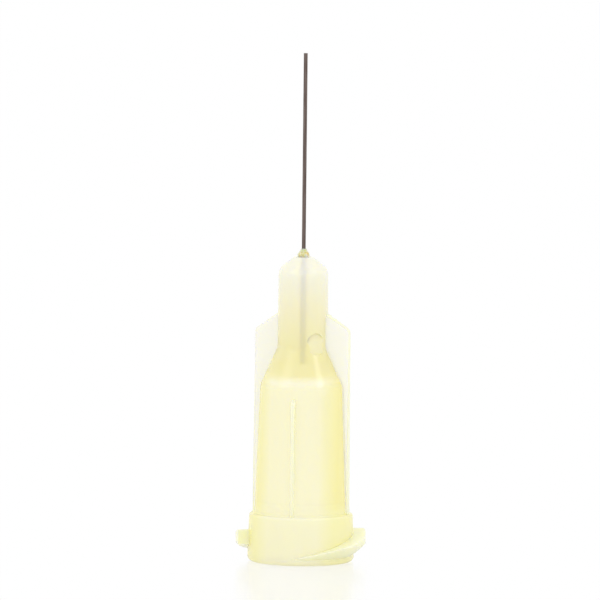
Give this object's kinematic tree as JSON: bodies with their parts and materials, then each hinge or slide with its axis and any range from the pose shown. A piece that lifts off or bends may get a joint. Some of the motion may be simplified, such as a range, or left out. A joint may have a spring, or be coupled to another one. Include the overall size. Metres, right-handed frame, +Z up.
{
  "type": "dispensing needle",
  "caption": "Blunt dispensing needle: a fine steel tube glued into a pale yellow translucent hub with side wings, a tapered socket and helical locking lugs.",
  "frame": {"origin": "centre of the socket mouth, on the plane that the hub stands on", "axes": "+Z up along the tube towards its open end, +X towards one wing, +Y towards the back rib"},
  "size_m": [0.0078, 0.0066, 0.0305],
  "materials": {
    "hub_plastic": "pale yellow translucent, satin",
    "tube_steel": "drawn, semi-bright",
    "adhesive": "amber translucent, glossy"
  },
  "bodies": {
    "root": {"hub": "hub_plastic", "needle_tube": "tube_steel", "adhesive": "adhesive"}
  },
  "joints": []
}
